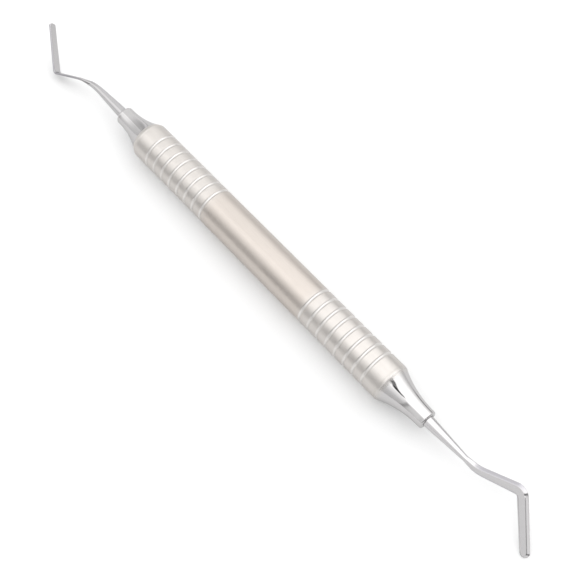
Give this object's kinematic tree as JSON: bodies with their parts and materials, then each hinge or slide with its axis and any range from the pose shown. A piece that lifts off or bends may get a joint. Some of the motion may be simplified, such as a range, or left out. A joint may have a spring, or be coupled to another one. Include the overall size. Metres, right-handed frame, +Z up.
{
  "type": "dental filling instrument",
  "caption": "Double-ended dental filling instrument: grooved hollow steel handle, flared noses, a blade bent to the side at one end and bent flatwise at the other.",
  "frame": {"origin": "on the table the instrument lies on, below the middle of its bounding box", "axes": "+X along the handle towards the side-bent blade, +Z up from the table, +Y across the handle"},
  "size_m": [0.1802, 0.01, 0.01],
  "materials": {
    "satin_steel": "satin, drawn lengthways on the smooth middle",
    "polished_steel": "turned, polished towards the collar",
    "blade_steel": "polished"
  },
  "bodies": {
    "root": {"handle_tube": "satin_steel", "side_nose": "polished_steel", "flat_nose": "polished_steel", "side_bent_tip": "blade_steel", "flat_bent_tip": "blade_steel"}
  },
  "joints": []
}
